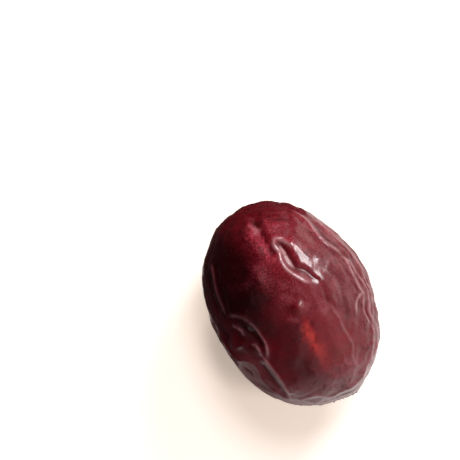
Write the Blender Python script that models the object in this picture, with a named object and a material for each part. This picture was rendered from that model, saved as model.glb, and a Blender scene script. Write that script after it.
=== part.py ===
"""A ripe, shrivelled passion fruit lying on its side, as one solid.

The fruit is an egg of leathery skin, which has sunk into folds. Those of the upper side are laid one by
one, and those of the sides and the underside follow a rule. Metres, +Z up. The origin is under the middle of
the fruit, on the small flat spot that it rests on, and +Y runs along the fruit to its blossom end.
"""

import math
import random
from collections import namedtuple

import bmesh
import bpy
import numpy as np
from mathutils import Vector, noise

MM = 0.001

# Egg, before its skin sinks and folds
HALF_WIDTH = 22.35 * MM
HALF_LENGTH = 29.9 * MM
HALF_HEIGHT = 21.65 * MM
FLAT_SPOT_DEPTH = 0.45 * MM  # how much the resting spot takes off the lowest point

# The routes of folds are given as they look from this place, which is in millimetres from the egg's middle
EYE = np.array([-5.7, 26.5, 420.0])

# One end of the fruit: which way along Y it looks and how far below the horizontal, then in millimetres the
# radius and depth of its dimple and the radius and height of the dry knob in it
End = namedtuple("End", "side tilt dimple depth knob height")
STEM = End(side=-1, tilt=math.radians(-30), dimple=4.4, depth=1.0, knob=2.3, height=1.0)
BLOSSOM = End(side=1, tilt=math.radians(-16), dimple=3.4, depth=0.6, knob=1.0, height=0.55)

GRID = 72  # squares along each edge of the round cube
TRIANGLES = 10400

# Sizes from here on are in millimetres. A fold is a crest, or a furrow where its height is negative, that
# fades out over the widths "left" and "right" of its route, as seen from above along the route
Fold = namedtuple("Fold", "name height left right route")
FOLDS = (
    Fold("hook rim", 0.30, 0.8, 1.3, (
        (7.6, 12.6), (6.9, 14.4), (6.1, 15.9), (5.3, 17.0), (4.4, 17.6), (3.5, 17.4), (3.0, 16.6),
        (3.2, 15.4), (3.6, 14.2), (3.4, 12.8), (3.1, 11.6), (3.1, 10.4), (3.4, 8.6), (4.1, 6.6), (5.0, 4.9),
        (6.2, 3.1), (7.8, 1.6))),
    Fold("hook bank", 0.17, 2.4, 1.2, (
        (12.0, 7.0), (10.9, 7.7), (10.0, 9.2), (9.2, 11.2), (8.6, 13.0), (7.9, 14.8), (7.0, 16.4))),
    Fold("hook step", 0.10, 0.3, 0.45, (
        (4.1, 16.2), (4.4, 15.0), (4.75, 13.5), (4.95, 12.0), (5.05, 10.2), (5.15, 8.6), (5.6, 7.4))),
    Fold("crown bank", 0.34, 1.0, 1.8, ((3.6, 24.4), (3.8, 21.0), (3.4, 18.8))),
    Fold("crown crest", 0.26, 1.2, 1.2, ((-1.4, 25.0), (-1.7, 20.0), (-1.9, 15.0))),
    Fold("cross furrow", -0.40, 0.9, 1.0, (
        (4.2, 23.2), (6.0, 22.8), (8.0, 22.3), (9.8, 21.5), (11.6, 20.2))),
    Fold("cross bank", 0.26, 1.2, 1.2, ((4.0, 21.4), (6.0, 21.2), (8.4, 20.6), (10.2, 19.4))),
    Fold("upper cross bank", 0.22, 1.1, 1.1, ((4.6, 24.6), (7.0, 24.5), (9.4, 23.8), (11.8, 22.4))),
    Fold("upper long crease", -0.30, 0.7, 0.9, (
        (10.4, 1.2), (9.8, -0.8), (9.3, -2.8), (9.1, -4.8), (9.3, -6.8))),
    Fold("long seam", 0.15, 0.5, 0.9, (
        (9.2, -5.6), (9.5, -8.0), (9.7, -11.0), (9.7, -15.0), (9.6, -19.0), (8.3, -21.5), (7.6, -25.0))),
    Fold("shoulder edge", 0.18, 1.8, 2.2, ((11.2, 7.6), (12.8, 6.6), (14.4, 5.8), (15.8, 3.2))),
    Fold("rim a", 0.52, 0.75, 0.75, (
        (12.6, 23.2), (14.0, 21.0), (14.8, 19.5), (15.3, 17.5), (15.7, 15.0), (16.2, 12.5), (16.8, 10.0),
        (17.5, 8.0), (18.7, 4.6))),
    Fold("rim a floor", -0.45, 1.0, 1.0, (
        (16.6, 18.0), (17.2, 14.6), (18.0, 11.4), (18.9, 8.0), (19.6, 5.4))),
    Fold("rim b", 0.50, 0.8, 0.8, (
        (17.6, 17.4), (18.5, 14.6), (19.6, 11.6), (20.4, 8.8), (20.9, 6.0), (21.2, 3.0), (21.4, 0.0),
        (21.2, -2.4))),
    Fold("rim c", 0.48, 0.7, 0.7, (
        (18.7, 4.8), (18.6, 2.0), (18.4, -0.6), (18.5, -3.0), (18.7, -5.4), (18.9, -7.2), (18.0, -9.2),
        (17.2, -11.0), (16.7, -13.2), (16.9, -16.0))),
    Fold("rim d", 0.45, 0.7, 0.7, (
        (18.9, 4.0), (19.4, 0.6), (19.7, -2.6), (20.1, -5.4), (19.9, -8.4), (19.0, -10.8), (18.0, -13.2),
        (17.6, -16.4))),
    Fold("rim d floor", -0.35, 0.8, 0.8, ((18.4, -10.8), (17.5, -12.8), (17.3, -15.4))),
    Fold("rim e", 0.45, 0.8, 0.8, (
        (21.3, -1.6), (20.9, -4.4), (20.8, -7.4), (20.2, -10.2), (18.9, -13.0), (18.2, -15.2))),
    Fold("right arc", 0.32, 1.1, 0.9, (
        (14.7, -12.4), (15.2, -10.4), (16.3, -8.7), (17.6, -7.7), (18.9, -7.2))),
    Fold("low rim", 0.45, 0.9, 0.9, (
        (17.2, -15.8), (15.8, -18.6), (14.0, -21.3), (11.8, -23.8), (9.0, -26.0), (6.6, -27.6), (3.6, -28.2),
        (0.4, -28.5), (-2.2, -28.5), (-3.8, -27.6), (-5.6, -26.0), (-8.6, -25.2), (-11.6, -24.2))),
    Fold("outer low rim", 0.35, 0.8, 0.8, ((18.0, -16.6), (16.4, -19.4), (14.6, -22.0), (12.4, -24.2))),
    Fold("tip floor", -0.26, 1.0, 1.0, (
        (10.4, -26.4), (7.6, -28.3), (4.0, -29.2), (0.4, -29.4), (-3.2, -29.2), (-6.6, -27.8))),
    Fold("left crease", -0.42, 0.8, 1.0, (
        (-13.2, 19.6), (-14.3, 16.6), (-15.1, 13.6), (-15.7, 11.0), (-16.3, 8.0), (-16.9, 5.0),
        (-17.3, 2.4))),
    Fold("left bulge", 0.42, 0.8, 0.7, (
        (-14.4, 19.6), (-15.5, 16.4), (-16.3, 13.4), (-16.9, 10.6), (-17.4, 7.8), (-17.9, 4.8))),
    Fold("outer left furrow", -0.30, 1.0, 1.0, ((-16.4, 17.4), (-17.8, 13.0), (-18.8, 9.0), (-19.3, 5.4))),
    Fold("loop rim", 0.42, 0.65, 1.4, (
        (-17.8, 4.8), (-16.2, 4.1), (-14.8, 3.2), (-13.6, 1.8), (-12.9, -0.2), (-12.5, -2.4), (-12.3, -4.6),
        (-12.1, -7.2), (-12.4, -9.4), (-13.5, -11.2))),
    Fold("loop floor", -0.80, 1.6, 1.0, (
        (-16.4, 1.8), (-15.2, -0.8), (-14.3, -3.6), (-13.7, -6.4), (-13.6, -8.8))),
    Fold("loop crest", 0.35, 0.7, 0.7, ((-17.4, 2.2), (-16.7, 0.8), (-16.1, -0.8), (-16.3, -2.6))),
    Fold("lower loop crest", 0.30, 0.7, 0.7, ((-15.9, -5.6), (-14.9, -6.4), (-14.4, -8.2), (-14.5, -10.0))),
    Fold("long rim", 0.45, 0.8, 1.5, (
        (-14.4, -9.2), (-13.8, -11.6), (-13.1, -14.5), (-12.5, -17.0), (-12.0, -19.6), (-11.8, -22.2),
        (-11.9, -24.4))),
    Fold("long floor", -0.70, 1.3, 0.9, (
        (-15.4, -10.4), (-15.0, -13.4), (-14.2, -16.6), (-13.4, -19.6), (-12.8, -22.6))),
    Fold("left shelf", 0.55, 1.6, 1.6, ((-20.8, -3.4), (-18.8, -4.2), (-16.6, -4.4))),
    Fold("left branch", 0.42, 1.2, 1.1, (
        (-21.4, -6.2), (-20.2, -7.7), (-18.6, -8.8), (-17.2, -10.2), (-16.6, -12.4), (-16.5, -15.0),
        (-15.6, -18.0), (-13.9, -21.0), (-12.2, -23.8))),
    Fold("left pit", -0.55, 1.1, 1.1, ((-20.2, -9.4), (-19.3, -11.6), (-18.3, -14.0))),
    Fold("low left crest", 0.34, 1.2, 1.2, ((-19.9, -13.6), (-18.0, -16.6), (-16.0, -18.9), (-14.2, -21.2))),
    Fold("left notch", -0.70, 1.6, 1.6, ((-19.4, 0.4), (-21.2, -1.2), (-21.8, -2.4))),
    Fold("upper wave", 0.30, 2.0, 1.6, ((-4.8, 15.0), (-4.9, 11.0), (-5.4, 7.0), (-6.0, 3.0))),
    Fold("left wave", 0.25, 2.2, 2.2, ((-8.6, 12.0), (-9.6, 6.0), (-9.4, 1.0))),
    Fold("lower wave", 0.16, 2.0, 2.0, ((5.0, -7.0), (5.4, -12.0), (5.0, -17.0))),
)

# A groove has straight walls. Its depth and the widths of its two walls are given at equal steps along the
# route, "rounding" holds the radii of its two shoulders, and over the lengths "fades" its two ends run out
Groove = namedtuple("Groove", "name depth left right rounding fades route")
GROOVES = (
    Groove(
        "hook groove",
        depth=(0.75, 0.9, 0.82, 0.62, 0.22),
        left=(1.5, 2.1, 2.2, 1.3, 0.4),
        right=(1.0, 1.7, 2.0, 2.2, 0.6),
        rounding=(0.20, 0.48),
        fades=(1.4, 0.8),
        route=(
            (4.4, 17.2), (4.9, 15.6), (5.2, 13.6), (5.3, 12.0), (5.4, 10.2), (5.6, 8.5), (6.3, 7.2),
            (7.4, 6.4), (8.3, 5.0), (8.9, 3.2), (10.2, 1.0))),
    Groove(
        "crown groove",
        depth=(0.6, 0.7, 0.6),
        left=(1.9, 1.9, 1.7),
        right=(2.6, 2.9, 2.4),
        rounding=(0.35, 0.45),
        fades=(1.3, 1.5),
        route=((1.2, 25.0), (1.35, 22.0), (1.45, 19.0), (1.8, 15.6), (2.8, 13.2))),
)

# A hollow, or a bump where its depth is negative: its middle as seen from EYE, its radius across and along
# the fruit, and its depth
Hollow = namedtuple("Hollow", "x y across along depth")
HOLLOWS = (
    Hollow(0.9, -2.5, 1.7, 1.6, -0.78),
    Hollow(11.9, -2.2, 2.1, 2.6, -0.42),
    Hollow(12.4, 4.2, 2.2, 2.4, 0.28),
    Hollow(-7.6, 17.5, 3.6, 4.2, 0.30),
    Hollow(-8.5, -4.5, 3.4, 5.0, 0.16),
    Hollow(3.0, -22.0, 5.5, 3.0, 0.22),
    Hollow(-5.5, -19.5, 3.6, 4.6, 0.22),
    Hollow(14.0, 12.0, 1.8, 3.4, 0.20),
    Hollow(13.2, -6.5, 2.4, 3.4, 0.22),
    Hollow(4.2, -4.8, 2.0, 1.6, 0.16),
)
ROUTE_STEP = 0.8
CREST_ROUNDING = 0.16

# A smooth random field, and the length over which it changes
Noise = namedtuple("Noise", "seed size")
WANDER = Noise(seed=1, size=9.0)
QUIVER = Noise(seed=2, size=3.2)
ROUTE_WANDER, ROUTE_QUIVER = 0.3, 0.2  # how far the two fields move a laid fold off its route
SWELL, SWELL_HEIGHT = Noise(seed=5, size=16.0), 0.8
RIPPLE, RIPPLE_HEIGHT = Noise(seed=6, size=7.0), 0.30
MEAN_SINK = 0.18

# How far the outline seen from above stands out from the egg, at some angles in degrees from +X
GIRTH = (
    (-160, 0.4), (-140, 1.5), (-120, 1.5), (-100, 1.1), (-80, 1.2), (-60, 1.0), (-40, 0.7), (-10, 0.5),
    (20, 0.1), (40, -1.0), (60, -0.4), (90, 0.0), (140, 0.0), (170, 0.1))
GIRTH_EASE = (-12, -6, 0, 6, 12)  # the angles over which it is averaged

# Net of wrinkles on the sides and the underside: long cells between crests that run from end to end
Net = namedtuple("Net", "seed around rows crest height drift")
COARSE_NET = Net(seed=11, around=16, rows=5, crest=0.20, height=1.10, drift=1.0)
FINE_NET = Net(seed=23, around=29, rows=9, crest=0.28, height=0.30, drift=1.6)
NET_WANDER, NET_QUIVER = 0.55, 0.16  # drift of the cells, in cells
CREST_FLATTENING = 0.03  # in cells
BEND_EASE = 0.35  # the larger, the gentler the net bends at the middle of the fruit
STRENGTH, STRENGTH_MEAN, STRENGTH_SPREAD = Noise(seed=3, size=6.0), 0.62, 0.95
STRENGTH_RANGE = (0.10, 1.15)

# Share of the net that shows on the upper side and towards the two ends, and the angles in degrees, from the
# top or from the middle of the fruit, over which each share sets in or fades
UPPER_SHARE, SIDE_ANGLES = 0.10, (78, 116)
END_SHARE, END_ANGLES = 0.25, (52, 68)
KNOB_SHARE, KNOB_ANGLES = 0.10, (58, 82)
RESTING_FADE = (4.0, 14.0)  # from the middle of the flat spot, over which the folds set in

SKIN_COLOUR = (0.11, 0.010, 0.018, 1.0)
SKIN_ROUGHNESS = 0.32


def smoothstep(low, high, value):
    share = np.clip((value - low) / (high - low), 0.0, 1.0)
    return share * share * (3 - 2 * share)


def noise_field(points, kind):
    """Three smooth random numbers at each point, from -1 to 1."""
    noise.seed_set(kind.seed)
    return np.array([noise.noise_vector(Vector(point) / kind.size) for point in points])


def egg_radii():
    return np.array([HALF_WIDTH, HALF_LENGTH, HALF_HEIGHT]) / MM


def seen_on_egg(places):
    """Points of the egg, in millimetres, that look from EYE as if they were at (x, y) in its middle plane."""
    radii = egg_radii()
    places = np.asarray(places, float)
    flat = np.column_stack([places, np.zeros(len(places))])
    eye = EYE / radii
    sight = flat / radii - eye
    # where the line of sight meets the unit sphere that the egg is once each axis is divided by its radius
    a = (sight * sight).sum(axis=1)
    b = sight @ eye
    c = eye @ eye - 1
    root = np.sqrt(np.clip(b * b - a * c, 0.0, None))
    meets = eye + ((-b - root) / a)[:, None] * sight
    return meets / np.linalg.norm(meets, axis=1)[:, None] * radii


def smooth_route(route):
    """The route as a Catmull-Rom curve with a point every ROUTE_STEP or so."""
    stops = np.array(route, float)
    stops = np.vstack([2 * stops[0] - stops[1], stops, 2 * stops[-1] - stops[-2]])
    curve = []
    for before, start, end, after in zip(stops, stops[1:], stops[2:], stops[3:]):
        count = max(2, int(np.linalg.norm(end - start) / ROUTE_STEP))
        for t in np.arange(count) / count:
            curve.append(0.5 * (
                2 * start + (end - before) * t + (2 * before - 5 * start + 4 * end - after) * t ** 2
                + (3 * start - before - 3 * end + after) * t ** 3))
    curve.append(stops[-2])
    return seen_on_egg(curve)


def along_route(points, normals, route, reach):
    """The points near a route: index, distance to it, whether right of it, way along it. Then its length."""
    path = smooth_route(route)
    steps = np.diff(path, axis=0)
    lengths = np.linalg.norm(steps, axis=1)
    starts = np.concatenate([[0], np.cumsum(lengths)])
    near = ((points > path.min(axis=0) - reach) & (points < path.max(axis=0) + reach)).all(axis=1)
    index = np.nonzero(near)[0]
    distance = np.full(len(index), np.inf)
    way = np.zeros(len(index))
    right = np.zeros(len(index), bool)
    for path_point, step, length, start in zip(path, steps, lengths, starts):
        offset = points[index] - path_point
        share = np.clip(offset @ step / length ** 2, 0, 1)
        offset -= share[:, None] * step
        gap = np.linalg.norm(offset, axis=1)
        closer = gap < distance
        distance[closer] = gap[closer]
        way[closer] = start + share[closer] * length
        rightward = np.cross(step, normals[index][closer])
        right[closer] = (offset[closer] * rightward).sum(axis=1) > 0
    return index, distance, right, way, starts[-1]


def fold_relief(points, normals, fold):
    reach = 6 * max(fold.left, fold.right)
    index, distance, right, way, length = along_route(points, normals, fold.route, reach)
    fade = min(0.3 * length, 3.0)
    taper = smoothstep(-0.12, 0.88, np.minimum(way, length - way) / fade)
    rounded = np.hypot(distance, CREST_ROUNDING) - CREST_ROUNDING
    relief = np.zeros(len(points))
    relief[index] = fold.height * taper * np.exp(-rounded / np.where(right, fold.right, fold.left))
    return relief


def groove_relief(points, normals, groove):
    reach = 2.2 * max(*groove.left, *groove.right)
    index, distance, right, way, length = along_route(points, normals, groove.route, reach)
    depth, left_width, right_width = (
        np.interp(way / length, np.linspace(0, 1, len(sizes)), sizes)
        for sizes in (groove.depth, groove.left, groove.right))
    width = np.where(right, right_width, left_width)
    taper = smoothstep(-0.05, 1.0, way / groove.fades[0])
    taper *= smoothstep(-0.05, 1.0, (length - way) / groove.fades[1])
    rounded = np.hypot(distance, CREST_ROUNDING)
    shoulder = np.where(right, groove.rounding[1], groove.rounding[0])
    wall = np.logaddexp(0.0, (width - rounded) / shoulder) * shoulder / width
    relief = np.zeros(len(points))
    relief[index] = -depth * taper * wall
    return relief


def hollow_relief(points, hollow):
    middle = seen_on_egg([(hollow.x, hollow.y)])[0]
    across = (points[:, 0] - middle[0]) / hollow.across
    along = (points[:, 1] - middle[1]) / hollow.along
    return -hollow.depth * np.exp(-across ** 2 - along ** 2) * (points[:, 2] > 0)


def straightened(unit):
    """The directions after a smooth bend that brings the stem and the blossom onto the Y axis."""
    y = unit[:, 1]
    slope = -np.tan(np.where(y < 0, STEM.tilt, BLOSSOM.tilt))
    lifted = unit.copy()
    lifted[:, 2] += slope * y * y * (1 + BEND_EASE) / (np.abs(y) + BEND_EASE)
    return lifted / np.linalg.norm(lifted, axis=1)[:, None]


def net_relief(straight, drift, strength, net):
    """Height, from 0 to 1, of the crests between the cells of a net wrapped round the fruit's long axis."""
    draw = random.Random(net.seed)
    around = np.arctan2(straight[:, 0], straight[:, 2]) * net.around / (2 * math.pi) + drift[:, 0] * net.drift
    along = np.arcsin(straight[:, 1]) * net.rows / math.pi + drift[:, 1] * net.drift
    nearest = np.full(len(straight), np.inf)
    second = np.full(len(straight), np.inf)
    for row in range(-1, net.rows + 1):
        for column in range(net.around):
            cell_around = column + 0.5 * (row % 2) + draw.uniform(-0.42, 0.42)
            cell_along = row + 0.5 - net.rows / 2 + draw.uniform(-0.45, 0.45)
            gap = (around - cell_around + net.around / 2) % net.around - net.around / 2
            distance = np.hypot(gap, along - cell_along)
            second = np.minimum(second, np.maximum(distance, nearest))
            nearest = np.minimum(nearest, distance)
    return strength * np.exp(-np.hypot(second - nearest, CREST_FLATTENING) / net.crest)


def end_relief(points, end):
    """The dimple at one end of the fruit, and the dry knob in it with its raised rim and sunken middle."""
    place = np.array([0.0, end.side * math.cos(end.tilt), math.sin(end.tilt)]) * egg_radii()
    reach = np.linalg.norm(points - place, axis=1)
    dimple = -end.depth * np.exp(-(reach / end.dimple) ** 2)
    knob = 1 - smoothstep(0.55 * end.knob, 1.25 * end.knob, reach)
    rim = 0.3 * np.exp(-((reach - end.knob) / (0.3 * end.knob)) ** 2)
    pit = -0.25 * np.exp(-(reach / (0.5 * end.knob)) ** 2)
    return dimple + end.height * (knob + rim + pit)


def girth_relief(unit, points):
    """The bulges that make the outline seen from above fuller or slimmer than the egg's."""
    azimuth = np.degrees(np.arctan2(points[:, 1], points[:, 0]))
    angles, heights = zip(*GIRTH)
    bulge = sum(np.interp(azimuth + ease, angles, heights, period=360) for ease in GIRTH_EASE)
    return bulge / len(GIRTH_EASE) * (1 - unit[:, 2] ** 2)


def skin_relief(unit):
    """How far the skin stands out from the egg, in millimetres, at each unit direction."""
    radii = egg_radii()
    points = unit * radii
    normals = unit / radii
    normals /= np.linalg.norm(normals, axis=1)[:, None]
    wander = noise_field(points, WANDER)
    quiver = noise_field(points, QUIVER)
    moved = points + ROUTE_WANDER * wander + ROUTE_QUIVER * quiver
    from_top = np.abs(np.degrees(np.arctan2(unit[:, 0], unit[:, 2])))
    straight = straightened(unit)
    from_middle = np.abs(np.degrees(np.arcsin(straight[:, 1])))

    laid = sum(fold_relief(moved, normals, fold) for fold in FOLDS)
    laid += sum(groove_relief(moved, normals, groove) for groove in GROOVES)
    laid += sum(hollow_relief(points, hollow) for hollow in HOLLOWS)

    drift = NET_WANDER * wander[:, :2] + NET_QUIVER * quiver[:, :2]
    strength = STRENGTH_MEAN + STRENGTH_SPREAD * noise_field(points, STRENGTH)[:, 0]
    strength = np.clip(strength, *STRENGTH_RANGE)
    nets = sum(net.height * net_relief(straight, drift, strength, net) for net in (COARSE_NET, FINE_NET))
    share = UPPER_SHARE + (1 - UPPER_SHARE) * smoothstep(*SIDE_ANGLES, from_top)
    share = np.maximum(share, END_SHARE * smoothstep(*END_ANGLES, from_middle))
    nets *= share * (1 - (1 - KNOB_SHARE) * smoothstep(*KNOB_ANGLES, from_middle))

    swell = SWELL_HEIGHT * noise_field(points, SWELL)[:, 0]
    swell += RIPPLE_HEIGHT * noise_field(points, RIPPLE)[:, 0]
    form = end_relief(points, STEM) + end_relief(points, BLOSSOM) + girth_relief(unit, points) - MEAN_SINK
    from_flat = np.where(unit[:, 2] > 0, math.inf, np.hypot(points[:, 0], points[:, 1]))
    return (laid + nets + swell) * smoothstep(*RESTING_FADE, from_flat) + form


def round_cube_directions(mesh):
    """Unit directions, spread evenly, of the vertices of a gridded cube that has its corners at 1."""
    places = np.empty(len(mesh.vertices) * 3, np.float32)
    mesh.vertices.foreach_get("co", places)
    places = np.tan(places.reshape(-1, 3).astype(float) * math.pi / 4)
    return places / np.linalg.norm(places, axis=1)[:, None]


def fruit_mesh():
    """The folded egg: a gridded cube rounded and pushed out to the skin, its middle over the origin."""
    mesh = bpy.data.meshes.new("passion_fruit")
    cube = bmesh.new()
    bmesh.ops.create_cube(cube, size=2.0)
    bmesh.ops.subdivide_edges(cube, edges=cube.edges[:], cuts=GRID - 1, use_grid_fill=True)
    cube.to_mesh(mesh)
    cube.free()
    unit = round_cube_directions(mesh)
    radii = egg_radii()
    normals = unit / radii
    normals /= np.linalg.norm(normals, axis=1)[:, None]
    skin = (unit * radii + normals * skin_relief(unit)[:, None]) * MM
    middle = (skin.min(axis=0) + skin.max(axis=0)) / 2
    skin -= [middle[0], middle[1], skin[:, 2].min() + FLAT_SPOT_DEPTH]
    mesh.vertices.foreach_set("co", skin.astype(np.float32).ravel())
    mesh.shade_smooth()
    mesh.update()
    return mesh


def skin_material():
    material = bpy.data.materials.new("skin")
    material.use_nodes = True
    shader = material.node_tree.nodes["Principled BSDF"]
    shader.inputs["Base Color"].default_value = SKIN_COLOUR
    shader.inputs["Roughness"].default_value = SKIN_ROUGHNESS
    shader.inputs["Metallic"].default_value = 0.0
    material.diffuse_color = SKIN_COLOUR
    return material


def make_collection(name):
    collection = bpy.data.collections.new(name)
    bpy.context.scene.collection.children.link(collection)
    return collection


def resting_cutter():
    """A box under the ground plane, which takes the flat spot off the fruit."""
    size = 4 * HALF_LENGTH
    mesh = bpy.data.meshes.new("resting_cutter")
    box = bmesh.new()
    bmesh.ops.create_cube(box, size=size)
    box.to_mesh(mesh)
    box.free()
    cutter = bpy.data.objects.new("resting_cutter", mesh)
    cutter.location.z = -size / 2
    cutter.hide_render = True
    cutter.display_type = "WIRE"
    return cutter


def main():
    for old in list(bpy.data.objects):
        bpy.data.objects.remove(old)
    fruit = bpy.data.objects.new("passion_fruit", fruit_mesh())
    fruit.data.materials.append(skin_material())
    make_collection("Passion fruit").objects.link(fruit)
    cutter = resting_cutter()
    make_collection("Cutters").objects.link(cutter)

    fewer = fruit.modifiers.new("Fewer faces", "DECIMATE")
    fewer.ratio = TRIANGLES / (12 * GRID * GRID)
    flat = fruit.modifiers.new("Flat spot", "BOOLEAN")
    flat.operation = "DIFFERENCE"
    flat.object = cutter


if __name__ == "__main__":
    main()
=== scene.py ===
"""Looks of a ripe, shrivelled passion fruit lying on its side, laid out as a Blender add-on.

The fruit is one fine mesh over the frame's plain solid, with the same folds, finer wrinkles and a leathery,
waxy skin. Metres, +Z up, +Y along the fruit to its blossom end. Folds are given in millimetres.
"""

import math
import random
from collections import namedtuple

import bpy
import numpy as np
from bpy.props import FloatProperty, FloatVectorProperty, IntProperty, PointerProperty
from mathutils import Matrix, Vector, noise


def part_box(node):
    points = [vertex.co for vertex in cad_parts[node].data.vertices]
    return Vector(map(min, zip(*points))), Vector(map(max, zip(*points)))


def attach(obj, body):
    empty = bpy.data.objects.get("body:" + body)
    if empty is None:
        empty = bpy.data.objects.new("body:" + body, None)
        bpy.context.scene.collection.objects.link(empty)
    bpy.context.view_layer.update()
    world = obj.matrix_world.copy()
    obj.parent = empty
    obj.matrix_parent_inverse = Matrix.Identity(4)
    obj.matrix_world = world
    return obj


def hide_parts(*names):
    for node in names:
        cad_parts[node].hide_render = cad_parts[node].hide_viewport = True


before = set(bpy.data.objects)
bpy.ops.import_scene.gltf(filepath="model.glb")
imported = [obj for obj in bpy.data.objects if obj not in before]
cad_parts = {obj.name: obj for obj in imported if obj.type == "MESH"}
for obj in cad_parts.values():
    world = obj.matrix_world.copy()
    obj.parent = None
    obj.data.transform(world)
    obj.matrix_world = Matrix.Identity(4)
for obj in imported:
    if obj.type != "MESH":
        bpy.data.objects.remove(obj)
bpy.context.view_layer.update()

bl_info = {
    "name": "Passion fruit",
    "version": (1, 0, 0),
    "blender": (4, 5, 0),
    "location": "3D View > Sidebar > Passion fruit",
    "description": "Makes a shrivelled passion fruit with a waxy, freckled skin, and a plain stage for it",
    "category": "Add Mesh",
}

MM = 0.001
NODE_LOW, NODE_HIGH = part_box("passion_fruit")

# How much the folds and swells add to the egg under them, over its whole width, length and height
FOLDS_ADD = Vector((0.89, 1.58, 0.51)) * MM
FLAT_SPOT_DEPTH = 0.45 * MM

# The routes of folds are given as they look from this place, which is in millimetres from the egg's middle
EYE = np.array([-5.7, 26.5, 420.0])

# One end of the fruit: which way along Y it looks and how far below the horizontal, then in millimetres the
# radius and depth of its dimple and the radius and height of the dry knob in it
End = namedtuple("End", "side tilt dimple depth knob height")
STEM = End(side=-1, tilt=math.radians(-30), dimple=4.4, depth=1.0, knob=2.3, height=1.0)
BLOSSOM = End(side=1, tilt=math.radians(-16), dimple=3.4, depth=0.6, knob=1.0, height=0.55)

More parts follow.
